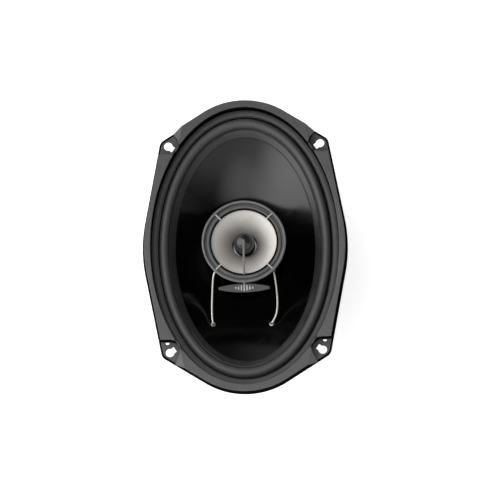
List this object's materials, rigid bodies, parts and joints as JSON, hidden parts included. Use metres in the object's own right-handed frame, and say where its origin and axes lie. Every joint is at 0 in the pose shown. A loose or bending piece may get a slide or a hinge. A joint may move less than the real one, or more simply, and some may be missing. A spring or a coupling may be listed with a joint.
{
  "type": "coaxial car speaker",
  "caption": "Oval coaxial car speaker: an oval woofer in a stamped steel basket, with a cone tweeter on a post in front, a raised trim ring, a rear ring magnet and push-on terminals.",
  "frame": {"origin": "centre of the four mounting holes, in the plane of the flange's rear face", "axes": "+Z out of the front along the cone's travel, +Y along the long axis to the end without the badge, +X to the right seen from the front"},
  "size_m": [0.1612, 0.2352, 0.111],
  "materials": {
    "basket_steel": "satin",
    "trim_plastic": "matte",
    "surround_rubber": "satin",
    "spider_cloth": "matte",
    "cone_film": "gloss",
    "former_film": "gloss",
    "coil_copper": "satin",
    "eyelet_metal": "satin",
    "plated_steel": "satin",
    "ferrite": "matte",
    "zinc_fasteners": "satin",
    "post_steel": "satin",
    "housing_plastic": "satin",
    "silver_film": "satin",
    "tweeter_foam": "matte",
    "plug_plastic": "gloss",
    "guard_plastic": "satin",
    "badge_plastic": "satin",
    "lug_tin": "satin",
    "capacitor_sleeve": "gloss",
    "board_fibre": "satin",
    "terminal_brass": "satin",
    "tinned_braid": "satin",
    "copper_braid": "satin"
  },
  "bodies": {
    "chassis": {"basket": "basket_steel", "trim_ring": "trim_plastic", "surround": "surround_rubber", "spider": "spider_cloth", "top_plate": "plated_steel", "ring_magnet": "ferrite", "pole_yoke": "plated_steel", "frame_rivets": "zinc_fasteners", "tweeter_post": "post_steel", "post_bolt": "zinc_fasteners", "post_washer": "zinc_fasteners", "tweeter_housing": "housing_plastic", "tweeter_yoke": "plated_steel", "tweeter_magnet": "ferrite", "tweeter_top_plate": "plated_steel", "tweeter_surround": "tweeter_foam", "phase_plug": "plug_plastic", "tweeter_guard": "guard_plastic", "badge": "badge_plastic", "tweeter_lugs": "lug_tin", "capacitor": "capacitor_sleeve", "capacitor_wires": "lug_tin", "terminal_board": "board_fibre", "terminal_positive": "terminal_brass", "terminal_negative": "lug_tin", "terminal_rivets": "zinc_fasteners", "tweeter_lead_left": "tinned_braid", "tweeter_lead_right": "tinned_braid", "woofer_lead_positive": "copper_braid", "woofer_lead_negative": "copper_braid"},
    "woofer_moving": {"woofer_cone": "cone_film", "coil_former": "former_film", "voice_coil": "coil_copper", "cone_eyelets": "eyelet_metal"},
    "tweeter_moving": {"tweeter_cone": "silver_film", "tweeter_former": "former_film", "tweeter_coil": "coil_copper"}
  },
  "joints": [
    {"name": "cone_travel", "type": "slide", "parent": "chassis", "child": "woofer_moving", "axis": [0, 0, 1], "range_m": [-0.004, 0.004], "stiffness_N_per_m": 2000, "deforming": ["surround", "spider", "tweeter_lead_left", "tweeter_lead_right", "woofer_lead_positive", "woofer_lead_negative"]},
    {"name": "tweeter_travel", "type": "slide", "parent": "chassis", "child": "tweeter_moving", "axis": [0, 0, 1], "range_m": [-0.0004, 0.0004], "stiffness_N_per_m": 300, "deforming": ["tweeter_surround"]}
  ]
}
